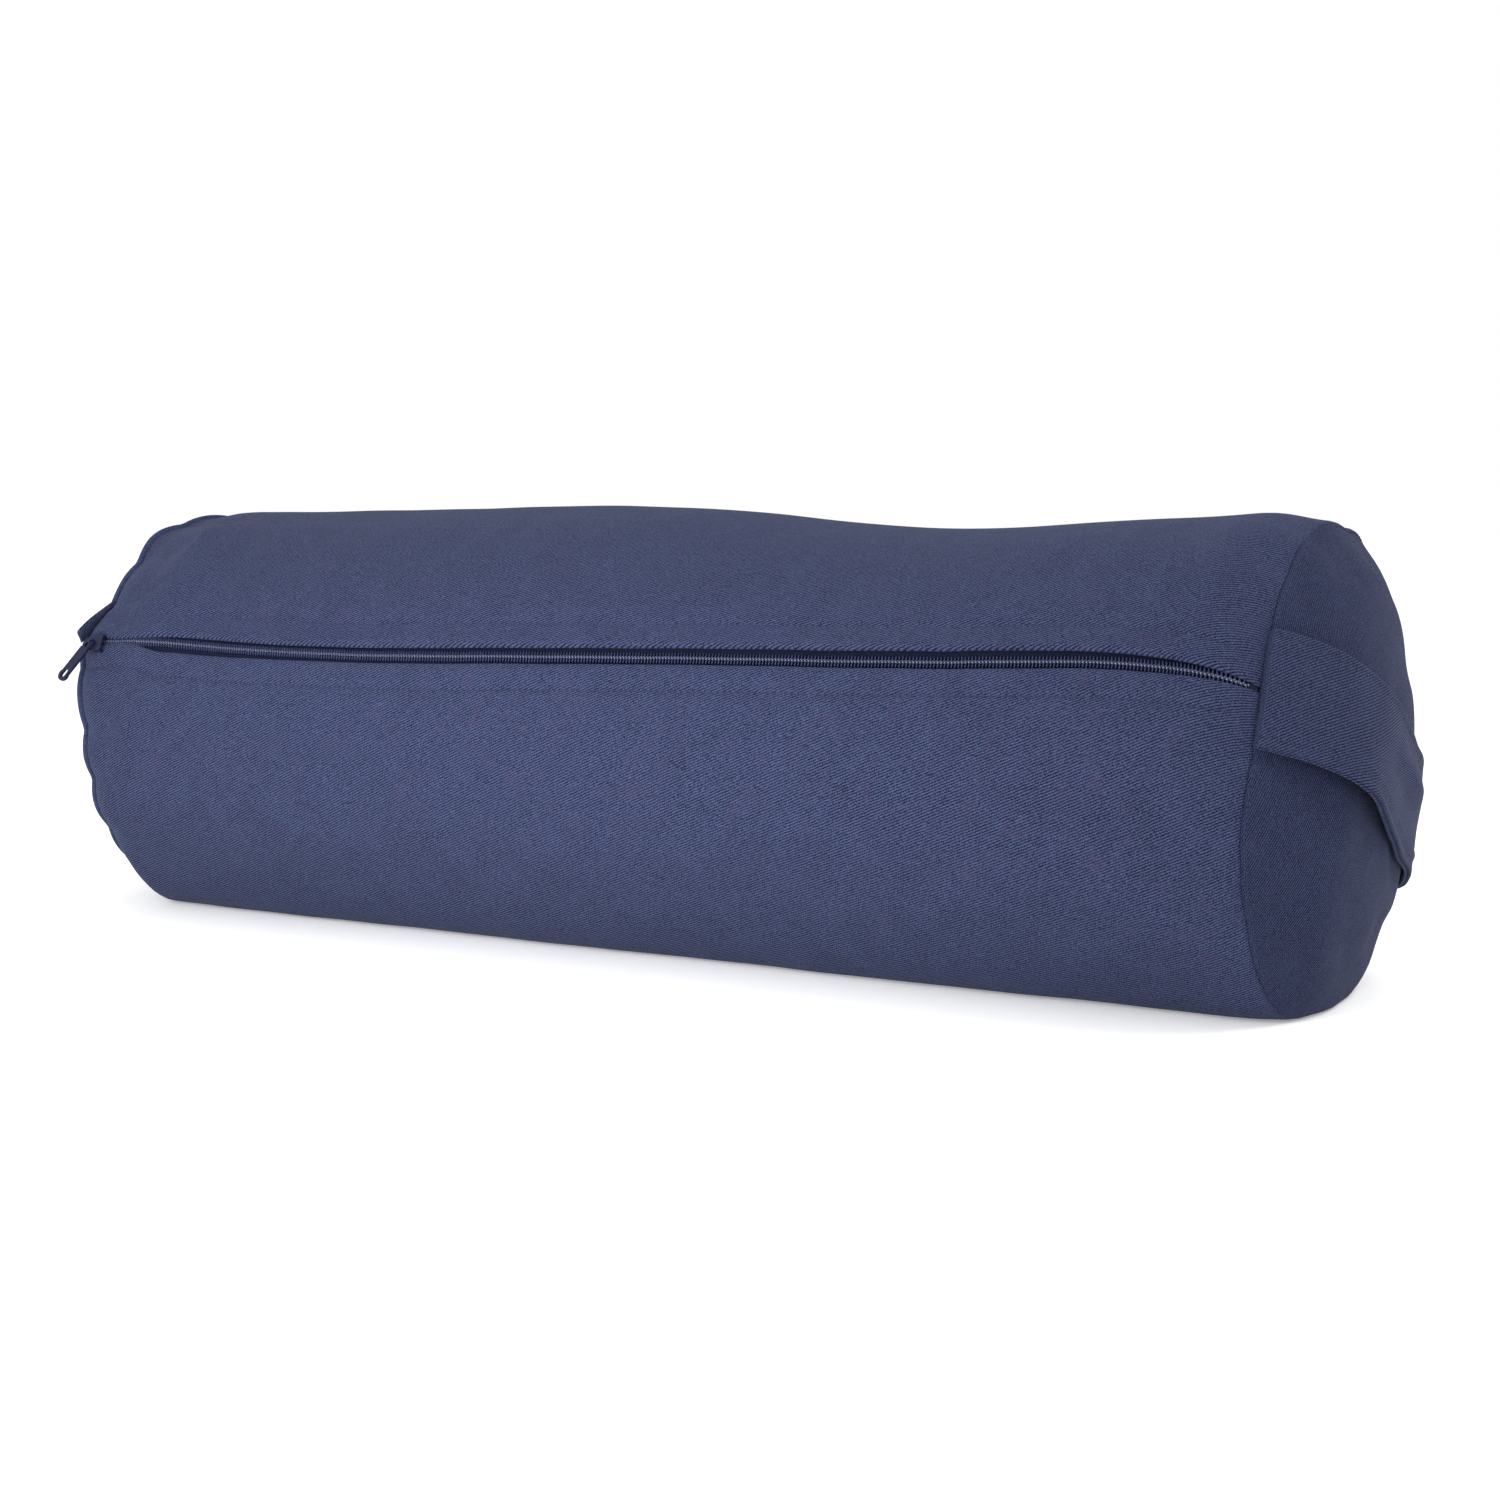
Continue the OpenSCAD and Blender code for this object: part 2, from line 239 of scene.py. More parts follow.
class End:
    """One crowned end. side is +1 at the handle end and -1 at the plain end."""

    def __init__(self, side, height, seam_r, seam_out, puffs):
        self.side, self.height = side, height
        self.seam_r, self.seam_out, self.puffs = seam_r, seam_out, puffs
        self.cloth_radius = 1.12 * RADIUS            # of the round panel as it was cut

    def edge(self, a):
        return round_curve(self.seam_r, a)

    def point(self, a, r, h=0.0):
        """The point of the end at angle a, r from the axis and h out from the cloth along the axis."""
        k = np.clip(r / self.edge(a), 0, 1)
        boxy = 3.1 + 0.1 * np.sin(a)
        seam = SEAM_X + round_curve(self.seam_out, a)
        x = seam + (SEAM_X + self.height - seam) * (1 - k ** boxy)
        calm = smooth(0, 0.3, k) * (1 - smooth(0.85, 1.0, k))        # at the centre and at the seam
        ripple = 0.9 * MM * waves(around_body(0.4 * self.side * k, a), 0.09, 8) * calm
        puff = self.puffs(a) * smooth(0.72, 1.0, k)
        place = round_body(self.side * (x + ripple + h), a, r + puff)
        return place + drift[self.side].at(k, a) if self.side in drift else place

    def rim(self, a):
        """x and radius of the seam at angle a."""
        return self.side * (SEAM_X + round_curve(self.seam_out, a)), self.edge(a) + self.puffs(a)


RIGHT_END = End(1, 35.5 * MM, RIGHT_SEAM_R, RIGHT_SEAM_OUT, right_gather)
LEFT_END = End(-1, 34 * MM, LEFT_SEAM_R, LEFT_SEAM_OUT, left_gather)


# ---------------------------------------------------------------- cloth simulation

def drift_limit(x):
    """How far the simulation may move the cloth at x: the handle end's seam is barely gathered."""
    return (4.0 - 2.6 * smooth(0.10, 0.27, x)) * MM


def end_drift(shares, moves):
    """The moves of one end, out from its centre, where they all meet in one."""
    centre = np.broadcast_to(moves[0].mean(0), moves[:1].shape)
    return Drift(np.append(0, shares), np.concatenate([centre, moves]))


SETTLE_AROUND = 168                  # points of the simulated cover round the body
SETTLE_ALONG = 92                    # and along it
SETTLE_FRAMES = 20


def settle():
    """Blows the closed cover up while its gathered seams draw in, and keeps the moves as drift."""
    a = np.linspace(0, 2 * math.pi, SETTLE_AROUND, endpoint=False)
    along = np.linspace(-SEAM_X, SEAM_X, SETTLE_ALONG)
    shares = np.linspace(0.06, 1.0, 15)
    caps = {}
    for end in (LEFT_END, RIGHT_END):
        caps[end.side] = np.array([end.point(a, end.edge(a) * k) for k in shares])
    body = np.array([on_cover(x, a, 0.0) for x in along])
    grid = np.concatenate([caps[-1][:-1], body, caps[1][:-1][::-1]])
    rows, cols = grid.shape[:2]
    poles = [grid[0].mean(0), grid[-1].mean(0)]
    middle = np.array([0.0, 0.0, AXIS_Z])
    slack = middle + (grid - middle) * [1.0, 0.985, 0.985]
    points = np.concatenate([slack.reshape(-1, 3), poles])
    faces = grid_faces(rows, cols, True)[:, ::-1].tolist()
    last = (rows - 1) * cols
    for c in range(cols):
        n = (c + 1) % cols
        faces += [[rows * cols, n, c], [rows * cols + 1, last + c, last + n]]
    form = mesh_object("settling_cover", points, faces)
    seams = form.vertex_groups.new(name="seams")
    for row in (len(shares) - 1, len(shares) - 1 + len(along) - 1):
        seams.add(list(range(row * cols, (row + 1) * cols)), 1.0, "REPLACE")
    cloth = form.modifiers.new("cloth", "CLOTH").settings
    cloth.quality = 5
    cloth.mass = 0.12
    cloth.tension_stiffness = cloth.compression_stiffness = 25
    cloth.shear_stiffness = 8
    cloth.bending_stiffness = 0.15
    cloth.use_pressure = True
    cloth.uniform_pressure_force = 4
    cloth.vertex_group_shrink = "seams"
    cloth.shrink_min = 0.0
    cloth.shrink_max = 0.10
    cloth.effector_weights.gravity = 0
    for step in range(1, SETTLE_FRAMES + 1):
        bpy.context.scene.frame_set(step)
    swollen = form.evaluated_get(bpy.context.evaluated_depsgraph_get()).to_mesh()
    ends = np.empty(len(swollen.vertices) * 3)
    swollen.vertices.foreach_get("co", ends)
    bpy.context.scene.frame_set(1)
    bpy.data.objects.remove(form)
    moves = ends.reshape(-1, 3)[:rows * cols].reshape(rows, cols, 3) - grid
    way = unit((grid - middle) * [0, 1, 1])
    growth = (moves * way).sum(-1, keepdims=True)
    moves = moves - way * np.median(growth)
    size = np.linalg.norm(moves, axis=-1, keepdims=True)
    limit = drift_limit(grid[..., :1])
    moves = moves * limit * np.tanh(size / limit) / np.maximum(size, 1e-9)
    moves = moves * smooth(2 * MM, 30 * MM, grid[..., 2:])       # the floor holds the underside still
    first = len(shares) - 1
    drift["body"] = Drift(along, moves[first:first + len(along)])
    drift[-1] = end_drift(shares, moves[:len(shares)])
    drift[1] = end_drift(shares, moves[::-1][:len(shares)])


# ---------------------------------------------------------------- meshes
def grid_faces(rows, cols, wrap):
    r = np.arange(rows - 1)[:, None]
    c = np.arange(cols if wrap else cols - 1)[None, :]
    n = (c + 1) % cols
    quads = np.stack([r * cols + c, r * cols + n, (r + 1) * cols + n, (r + 1) * cols + c], -1)
    return quads.reshape(-1, 4)


def mesh_object(name, points, faces, cloth=None, flat=False):
    """A mesh piece. cloth holds each point's place on its cloth, in metres, as a UV map."""
    mesh = bpy.data.meshes.new(name)
    corners = np.asarray(points, float).reshape(-1, 3).tolist()
    mesh.from_pydata(corners, [], [list(map(int, f)) for f in faces])
    if cloth is not None:
        layer = mesh.uv_layers.new(name="cloth")
        index = np.empty(len(mesh.loops), np.int32)
        mesh.loops.foreach_get("vertex_index", index)
        layer.data.foreach_set("uv", np.asarray(cloth, float).reshape(-1, 2)[index].ravel())
    mesh.update()
    if flat:
        mesh.shade_flat()
    else:
        mesh.shade_smooth()
    piece = bpy.data.objects.new(name, mesh)
    bpy.context.scene.collection.objects.link(piece)
    return piece


def grid_object(name, points, cloth=None, wrap=False, flip=False, caps=False):
    """A piece from a grid of points. caps closes the first and last rows of a wrapped grid."""
    points = np.asarray(points, float)
    rows, cols = points.shape[:2]
    faces = grid_faces(rows, cols, wrap).tolist()
    if caps:
        faces += [list(range(cols))[::-1], list(range((rows - 1) * cols, rows * cols))]
    if flip:
        faces = [f[::-1] for f in faces]
    return mesh_object(name, points, faces, cloth)


def unit(v):
    return v / np.maximum(np.linalg.norm(v, axis=-1, keepdims=True), 1e-12)


def tube(path, radius, sides=6, up=None):
    """Rings of points round a path, for a thread, wire or cord. radius may change along it."""
    path = np.asarray(path, float)
    ahead = unit(np.gradient(path, axis=0))
    if up is None:
        up = (0.0, -math.cos(ZIP_ANGLE), math.sin(ZIP_ANGLE))        # out of the cover at the zip
    across = unit(np.cross(ahead, np.asarray(up, float)))
    lift = np.cross(across, ahead)
    turn = np.arange(sides) * 2 * math.pi / sides
    radius = np.broadcast_to(radius, len(path))[:, None, None]
    ring = across[:, None] * np.cos(turn)[:, None] + lift[:, None] * np.sin(turn)[:, None]
    return path[:, None] + radius * ring


def tubes_object(name, paths, radius, sides=6, up=None):
    """One piece from many short closed tubes with rounded ends."""
    points, faces, start = [], [], 0
    for path in paths:
        rings = tube(path, radius, sides, up)
        rows, cols = rings.shape[:2]
        points.append(rings.reshape(-1, 3))
        local = grid_faces(rows, cols, True).tolist()
        local += [list(range(cols))[::-1], list(range((rows - 1) * cols, rows * cols))]
        faces += [[start + k for k in f] for f in local]
        start += rows * cols
    return mesh_object(name, np.vstack(points), faces)


@contextlib.contextmanager
def editing(mesh):
    """The mesh as a bmesh form, which is written back afterwards."""
    form = bmesh.new()
    form.from_mesh(mesh)
    yield form
    form.to_mesh(mesh)
    form.free()


def tidy_normals(piece):
    """Turns every face of a closed piece outwards."""
    with editing(piece.data) as form:
        bmesh.ops.recalc_face_normals(form, faces=form.faces)


def weld(piece):
    """Joins the points that lie in one place."""
    with editing(piece.data) as form:
        bmesh.ops.remove_doubles(form, verts=form.verts, dist=0.005 * MM)


# ---------------------------------------------------------------- materials
def linear(hex_colour):
    """A colour as Blender wants it, from its sRGB hex code."""
    parts = [int(hex_colour[k:k + 2], 16) / 255 for k in (0, 2, 4)]
    return [p / 12.92 if p <= 0.04045 else ((p + 0.055) / 1.055) ** 2.4 for p in parts] + [1.0]


class Nodes:
    """A material's nodes, made and joined in short steps."""

    def __init__(self, name):
        self.material = bpy.data.materials.new(name)
        self.material.use_nodes = True
        self.tree = self.material.node_tree
        self.shader = self.tree.nodes["Principled BSDF"]

    def add(self, kind, **facts):
        node = self.tree.nodes.new(kind)
        for key, value in facts.items():
            setattr(node, key, value)
        return node

    def put(self, socket, value):
        if isinstance(value, bpy.types.NodeSocket):
            self.tree.links.new(value, socket)
        else:
            socket.default_value = value

    def math(self, operation, a, b=0.0, c=0.0):
        node = self.add("ShaderNodeMath", operation=operation)
        for socket, value in zip(node.inputs, (a, b, c)):
            self.put(socket, value)
        return node.outputs[0]

    def noise(self, vector, scale, detail=2.0, roughness=0.5):
        node = self.add("ShaderNodeTexNoise")
        self.put(node.inputs["Vector"], vector)
        node.inputs["Scale"].default_value = scale
        node.inputs["Detail"].default_value = detail
        node.inputs["Roughness"].default_value = roughness
        return node.outputs["Fac"]

    def mix(self, factor, a, b):
        node = self.add("ShaderNodeMix", data_type="RGBA")
        self.put(node.inputs["Factor"], factor)
        self.put(node.inputs["A"], a)
        self.put(node.inputs["B"], b)
        return node.outputs["Result"]

    def span(self, value, a, b, low=0.0, high=1.0):
        node = self.add("ShaderNodeMapRange", clamp=True)
        for socket, v in zip(node.inputs, (value, a, b, low, high)):
            self.put(socket, v)
        return node.outputs[0]

    def bump(self, height, depth, strength=1.0, normal=None):
        node = self.add("ShaderNodeBump")
        node.inputs["Strength"].default_value = strength
        node.inputs["Distance"].default_value = depth
        self.put(node.inputs["Height"], height)
        if normal is not None:
            self.put(node.inputs["Normal"], normal)
        return node.outputs[0]


def shape_vector(n):
    return n.add("ShaderNodeTexCoord").outputs["Object"]


def twill(name, light, dark, angle, pitch=1.17 * MM, wander=0.5):
    """Cotton twill: slanting wales of short floats, with uneven dye and loose fibres."""
    n = Nodes(name)
    cloth = n.add("ShaderNodeUVMap", uv_map="cloth").outputs["UV"]
    part = n.add("ShaderNodeSeparateXYZ")
    n.put(part.inputs[0], cloth)
    u, v = part.outputs[0], part.outputs[1]
    place = shape_vector(n)
    c, s = math.cos(angle), math.sin(angle)
    sway = n.math("MULTIPLY_ADD", n.noise(place, 260, 2), wander * pitch, -0.5 * wander * pitch)
    across = n.math("ADD", n.math("MULTIPLY_ADD", v, c, n.math("MULTIPLY", u, -s)), sway)
    down = n.math("MULTIPLY_ADD", v, s, n.math("MULTIPLY", u, c))
    wale = n.math("DIVIDE", across, pitch)
    ridge = n.math("MULTIPLY_ADD", n.math("SINE", n.math("MULTIPLY", wale, 2 * math.pi)), 0.5, 0.5)
    step = n.math("MULTIPLY", n.math("FLOOR", wale), 0.37)           # each wale's floats start further on
    float_at = n.math("ADD", n.math("DIVIDE", down, 1.15 * pitch), step)
    floats = n.math("MULTIPLY_ADD", n.math("SINE", n.math("MULTIPLY", float_at, 2 * math.pi)), 0.5, 0.5)
    weave = n.math("MULTIPLY", ridge, n.math("MULTIPLY_ADD", floats, 0.35, 0.65))
    fibres = n.noise(place, 1500, 3, 0.7)
    blotch = n.noise(place, 60, 4, 0.6)
    # about 0 in the gaps between the wales, and 1 on a float: the dark gaps are partly the weave's look and
    # partly painted shade in its grooves
    tone = n.math("MULTIPLY_ADD", weave, 1.1, n.math("MULTIPLY_ADD", fibres, 2.9, -1.52))
    tone = n.math("ADD", tone, n.math("MULTIPLY_ADD", blotch, 0.24, -0.12))
    dyed = n.mix(n.span(tone, -0.1, 1.0), linear(dark), linear(light))
    reddish = n.mix(0.25, dyed, linear("3d3550"))
    n.put(n.shader.inputs["Base Color"], n.mix(n.span(n.noise(place, 110, 2), 0.58, 0.72), dyed, reddish))
    height = n.math("MULTIPLY_ADD", fibres, 0.35, weave)
    n.put(n.shader.inputs["Normal"], n.bump(height, 0.18 * MM, 0.75, n.bump(blotch, 0.8 * MM, 0.35)))
    n.put(n.shader.inputs["Roughness"], n.span(fibres, 0.3, 0.7, 0.86, 0.97))
    n.shader.inputs["Specular IOR Level"].default_value = 0.1
    n.shader.inputs["Sheen Weight"].default_value = 0.06
    n.shader.inputs["Sheen Roughness"].default_value = 0.45
    n.shader.inputs["Sheen Tint"].default_value = (0.55, 0.62, 0.85, 1)
    return n.material


def plain(name, light, dark, roughness, scale, depth, specular=0.4, coat=0.0):
    """A small hard or spun part: two tones, and fine grain."""
    n = Nodes(name)
    place = shape_vector(n)
    grain = n.noise(place, scale, 3, 0.6)
    n.put(n.shader.inputs["Base Color"], n.mix(n.span(grain, 0.3, 0.7), linear(dark), linear(light)))
    patches = n.noise(place, scale / 5, 2)
    n.put(n.shader.inputs["Roughness"], n.span(patches, 0.3, 0.7, roughness * 0.8, roughness * 1.2))
    n.put(n.shader.inputs["Normal"], n.bump(grain, depth, 0.5))
    n.shader.inputs["Specular IOR Level"].default_value = specular
    n.shader.inputs["Coat Weight"].default_value = coat
    return n.material


def tape_cloth(name):
    """Zip tape: a fine herringbone in filament yarn."""
    n = Nodes(name)
    cloth = n.add("ShaderNodeUVMap", uv_map="cloth").outputs["UV"]
    part = n.add("ShaderNodeSeparateXYZ")
    n.put(part.inputs[0], cloth)
    rib = n.math("PINGPONG", part.outputs[1], 1.6 * MM)
    slant = n.math("SINE", n.math("MULTIPLY", n.math("ADD", part.outputs[0], rib), 2 * math.pi / (0.7 * MM)))
    height = n.math("MULTIPLY_ADD", slant, 0.5, 0.5)
    # The tape's near-black tones are partly its navy dye and partly painted shade for the gap under the
    # folded edges.
    n.put(n.shader.inputs["Base Color"], n.mix(height, linear("0a0d1c"), linear("1a1f3a")))
    n.put(n.shader.inputs["Normal"], n.bump(height, 0.15 * MM, 0.8))
    n.shader.inputs["Roughness"].default_value = 0.85
    n.shader.inputs["Specular IOR Level"].default_value = 0.15
    return n.material


def coil_nylon(name):
    """Dyed nylon: dark loops, with a painted highlight in light grey-blue on their heads. v is 1 on a head.
    """
    n = Nodes(name)
    part = n.add("ShaderNodeSeparateXYZ")
    n.put(part.inputs[0], n.add("ShaderNodeUVMap", uv_map="cloth").outputs["UV"])
    painted_head_highlight = n.span(part.outputs[1], 0.65, 0.95)
    grain = n.noise(shape_vector(n), 900, 3, 0.6)
    dyed = n.mix(n.span(grain, 0.3, 0.7), linear("10142c"), linear("2a3156"))
    # the light grey-blue on the heads is a painted highlight for their glints
    n.put(n.shader.inputs["Base Color"], n.mix(painted_head_highlight, dyed, linear("9ca2ba")))
    n.put(n.shader.inputs["Roughness"], n.span(grain, 0.3, 0.7, 0.3, 0.42))
    n.shader.inputs["Specular IOR Level"].default_value = 0.3
    return n.material


BODY_TWILL = twill("body_twill", "454d6f", "0a0d1e", math.radians(24))
# The end panels are cut from the body's cloth: their darker tones are painted shade, as the ends face away
# from the key light.
SHADED_END_TWILL = twill("end_twill", "3a4161", "090c1b", math.radians(66))
# The strap is cut from the body's cloth too: its slightly darker tones are painted shade, as it lies on the
# end away from the key light.
SHADED_STRAP_TWILL = twill("strap_twill", "424969", "0a0d1e", math.radians(36), pitch=1.12 * MM)
PLAIN_TWILL = plain("plain_twill", "3a4262", "1e2440", 0.9, 900, 0.15 * MM, specular=0.2)
THREAD = plain("navy_thread", "2c3454", "1a2038", 0.75, 2200, 0.08 * MM)
BAG_THREAD = plain("bag_thread", "cfc7b2", "aaa28c", 0.8, 2200, 0.08 * MM)
COIL = coil_nylon("nylon_coil")
TAPE = tape_cloth("zip_tape")
PAINT = plain("navy_paint", "191e38", "0e1226", 0.42, 700, 0.03 * MM, specular=0.22, coat=0.05)
BAG_CLOTH = plain("bag_cloth", "ddd6c2", "b9b09a", 0.9, 1500, 0.1 * MM, specular=0.2)
HULLS = plain("hulls", "6d5237", "2a1c10", 0.8, 260, 1.5 * MM, specular=0.3)


def finish_piece(piece, body, material, slot, *nodes):
    """Gives a piece its material and its body, and hides the CAD nodes it stands for. Its slot is not used.

    A piece of the handle has its transform baked in and is not attached to a body.
    """
    piece.data.materials.clear()
    piece.data.materials.append(material)
    if body == "handle":
        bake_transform(piece)
    else:
        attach(piece, body)
    if nodes:
        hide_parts(*nodes)
    return piece


# ---------------------------------------------------------------- camera, light and floor
CAMERA_PLACE = (0.5263, -0.9265, 0.2043)
CAMERA_DOWN, CAMERA_ROUND = math.radians(5.96), math.radians(28.06)
CAMERA_LENS = 50.8                   # on a sensor 36 mm wide
WORLD_LIGHT = 1.0
FLOOR_GLOW = 0.24
FLOOR_HALF = 30                      # metres
# Each light: name, place, what it points at, size in metres, watts
LIGHTS = [("key", (-0.05, -0.6, 0.16), (-0.4, 0, 0.1), (0.6, 0.3), 2.9),
          ("side", (0.95, 0.1, 1.25), (0.34, 0, 0.12), (0.5, 0.5), 6.0),
          ("glint", (-0.2, -1.6, 1.0), (0, 0, 0.1), (0.15, 0.15), 2)]


def aim(thing, place, target):
    thing.location = place
    thing.rotation_euler = (Vector(target) - Vector(place)).to_track_quat("-Z", "Y").to_euler()


def camera():
    data = bpy.data.cameras.new("camera")
    data.lens = CAMERA_LENS
    data.sensor_width = 36
    view = bpy.data.objects.new("camera", data)
    bpy.context.scene.collection.objects.link(view)
    view.location = CAMERA_PLACE
    view.rotation_euler = (math.pi / 2 - CAMERA_DOWN, 0, CAMERA_ROUND)
    bpy.context.scene.camera = view


def area_light(name, place, target, size, watts):
    data = bpy.data.lights.new(name, "AREA")
    data.shape = "RECTANGLE"
    data.size, data.size_y = size
    data.energy = watts
    light = bpy.data.objects.new(name, data)
    light.visible_camera = False
    bpy.context.scene.collection.objects.link(light)
    aim(light, place, target)


def studio():
    scene = bpy.context.scene
    scene.view_settings.view_transform = "Standard"
    world = bpy.data.worlds.new("studio")
    world.use_nodes = True
    sky = world.node_tree.nodes["Background"]
    sky.inputs["Color"].default_value = (1, 1, 1, 1)
    sky.inputs["Strength"].default_value = WORLD_LIGHT
    scene.world = world
    for name, place, target, size, watts in LIGHTS:
        area_light(name, place, target, size, watts)
    n = Nodes("floor")
    n.shader.inputs["Base Color"].default_value = (0.99, 0.99, 0.99, 1)
    n.shader.inputs["Roughness"].default_value = 0.9
    n.shader.inputs["Specular IOR Level"].default_value = 0.0
    n.shader.inputs["Emission Color"].default_value = (1, 1, 1, 1)
    n.shader.inputs["Emission Strength"].default_value = FLOOR_GLOW
    corners = [(x * FLOOR_HALF, y * FLOOR_HALF, 0) for x, y in ((-1, -1), (1, -1), (1, 1), (-1, 1))]
    floor = mesh_object("floor", corners, [(0, 1, 2, 3)], flat=True)
    floor.data.materials.append(n.material)


# ---------------------------------------------------------------- the zip's line on the cover
# Along the body: x, and the height round the body above the line at the zip's angle, in millimetres
ZIP_LINE = [(-0.313, 1.0), (-0.300, 0.6), (-0.260, -0.6), (-0.200, -3.0), (-0.10, -3.3), (-0.03, -0.8),
            (0.05, 2.1), (0.13, 4.3), (0.20, 7.4), (0.24, 8.5), (0.27, 7.2), (0.29, 5.3), (0.31, 5.3)]
# Distance of each folded edge from the zip's middle
EDGE_ABOVE = [(-0.313, 2.6), (-0.298, 2.2), (-0.288, 1.2), (-0.27, 1.4), (-0.25, 2.8), (-0.18, 3.3),
              (0.0, 4.4), (0.10, 5.0), (0.23, 5.0), (0.28, 3.4), (0.31, 1.2)]
EDGE_BELOW = [(-0.313, 2.6), (-0.298, 2.4), (-0.288, 1.0), (-0.272, 1.4), (-0.258, 4.6), (-0.24, 4.9),
              (-0.18, 4.2), (0.0, 3.4), (0.10, 3.1), (0.23, 3.1), (0.28, 2.6), (0.31, 1.2)]
# Section of a folded edge in millimetres: distance back from the fold, and height above the cloth
UPPER_EDGE = [(9.0, -2.6), (4.0, -2.2), (1.3, -1.9), (0.35, -1.5), (0.0, -0.7), (0.3, 0.2), (1.0, 1.0),
              (2.2, 1.55), (3.6, 1.5), (6.0, 0.9), (9.0, 0.3), (11.0, -0.1), (12.2, -0.45), (13.0, -0.6),
              (13.8, -0.4), (15.5, 0.0), (18.0, 0.2), (22.0, 0.1), (27.0, 0.0)]
LOWER_EDGE = [(9.0, -2.6), (4.0, -2.2), (1.3, -1.9), (0.35, -1.7), (0.0, -1.2), (0.25, -0.6), (0.9, -0.2),
              (2.0, 0.1), (4.0, 0.25), (6.5, 0.15), (9.0, 0.0), (11.0, -0.25), (12.2, -0.55), (13.0, -0.7),
              (13.8, -0.5), (15.5, 0.0), (18.0, 0.2), (22.0, 0.1), (27.0, 0.0)]
EDGE_ZONE = 27 * MM                  # width of each folded edge's section
STITCH_AT = 13 * MM                  # distance of the topstitching from the fold
TAPE_DEPTH = -2.4 * MM
COIL_DEPTH = -1.2 * MM
TEETH_PITCH = 1.574 * MM
COIL_WIDTH = 3.0 * MM                # of one side's helix
COIL_HEIGHT = 1.7 * MM
COIL_MIDDLE = 1.2 * MM               # from the zip's line to the middle of a side's helix
COIL_STEPS = 16                      # points to a turn of the helix


def zip_q(x):
    return curve(ZIP_LINE, x) * MM


def fold_q(x, sign):
    """Height round the body of the folded edge above (sign 1) or below (sign -1) the zip."""
    return zip_q(x) + sign * curve(EDGE_ABOVE if sign > 0 else EDGE_BELOW, x) * MM


def clear_of_seams(x):
    """1 along the body, falling to 0 at its end seams."""
    return smooth(0, 10 * MM, SEAM_X - np.abs(x))


def stitched(paths_at, start, stop, length=2.7 * MM, gap=0.6 * MM):
    """Paths of a row of stitches. paths_at(places, dip) gives the points at places along the row."""
    dip = np.array([-0.35, 0.0, 0.08, 0.0, -0.35]) * MM
    starts = np.arange(start, stop - length, length + gap)
    return [paths_at(np.linspace(s, s + length, 5), dip) for s in starts]


# ---------------------------------------------------------------- cover
def seam_turn(d, a, width):
    """How far the cloth drops over its last width to a seam, d away from it. At the top it is pulled flat."""
    t = np.clip(1 - d / width, 0, 1)
    depth = (1.9 - 1.2 * bell(a, math.radians(85), 0.45)) * MM
    return depth * (1 - np.sqrt(1 - 0.95 * t * t))


def body_columns():
    """Places along the body: closer together at the seams."""
    ends = SEAM_X - np.array([0.0, 0.25, 0.6, 1.1, 1.8, 2.8, 4.2, 6.2, 8.8, 12.0]) * MM
    middle = np.linspace(-SEAM_X + 15 * MM, SEAM_X - 15 * MM, 250)
    return np.concatenate([-ends, middle, ends[::-1]])


def body_section(x):
    """q and h of the points round the body at x, from the upper fold over the top to the lower fold."""
    upper, lower = np.array(UPPER_EDGE) * MM, np.array(LOWER_EDGE)[::-1] * MM
    first, last = fold_q(x, 1), 2 * math.pi * RADIUS + fold_q(x, -1)
    share = np.linspace(0, 1, 156)[1:-1]
    between = first + EDGE_ZONE + share * (last - first - 2 * EDGE_ZONE)
    q = np.concatenate([first + upper[:, 0], between, last - lower[:, 0]])
    h = np.concatenate([upper[:, 1], 0 * share, lower[:, 1]])
    tucked = h < -1.1 * MM
    return q, np.where(tucked, h, h * clear_of_seams(x))


def cover_body():
    points, cloth = [], []
    for x in body_columns():
        q, h = body_section(x)
        points.append(on_body(x, q, h - seam_turn(SEAM_X - abs(x), ZIP_ANGLE + q / RADIUS, 2.4 * MM)))
        cloth.append(np.stack([np.full(len(q), x), q], -1))
    piece = grid_object("cover_body", np.array(points), np.array(cloth), flip=True)
    finish_piece(piece, "cover", BODY_TWILL, "cover_twill", "cover_body_panel")


def cover_end(name, end, node):
    """A round panel, crowned by the filling."""
    steps = np.concatenate([1 - np.array([0, 0.25, 0.6, 1.1, 1.8, 2.8, 4.2, 6.2]) * MM / RADIUS * 0.5,
                            np.linspace(0.955, 0.0, 52)])
    a = np.linspace(0, 2 * math.pi, 288, endpoint=False)
    inward = np.stack([0 * a, np.cos(a), -np.sin(a)], -1)
    around = np.stack([-end.side * np.cos(a), np.sin(a)], -1)
    places = np.array([end.point(a, end.edge(a) * k) for k in steps])
    steps_in = np.linalg.norm(np.diff(places, axis=0, prepend=places[:1]), axis=-1)
    reach = np.cumsum(steps_in, 0)                       # over the cloth, in from the seam
    points = places + inward * seam_turn(reach, a, 0.8 * MM)[..., None]
    cloth = around * (end.cloth_radius * (1 - reach / reach[-1]))[..., None]
    piece = grid_object(name, points, cloth, wrap=True, flip=end.side < 0)
    weld(piece)
    finish_piece(piece, "cover", SHADED_END_TWILL, "end_twill", node)


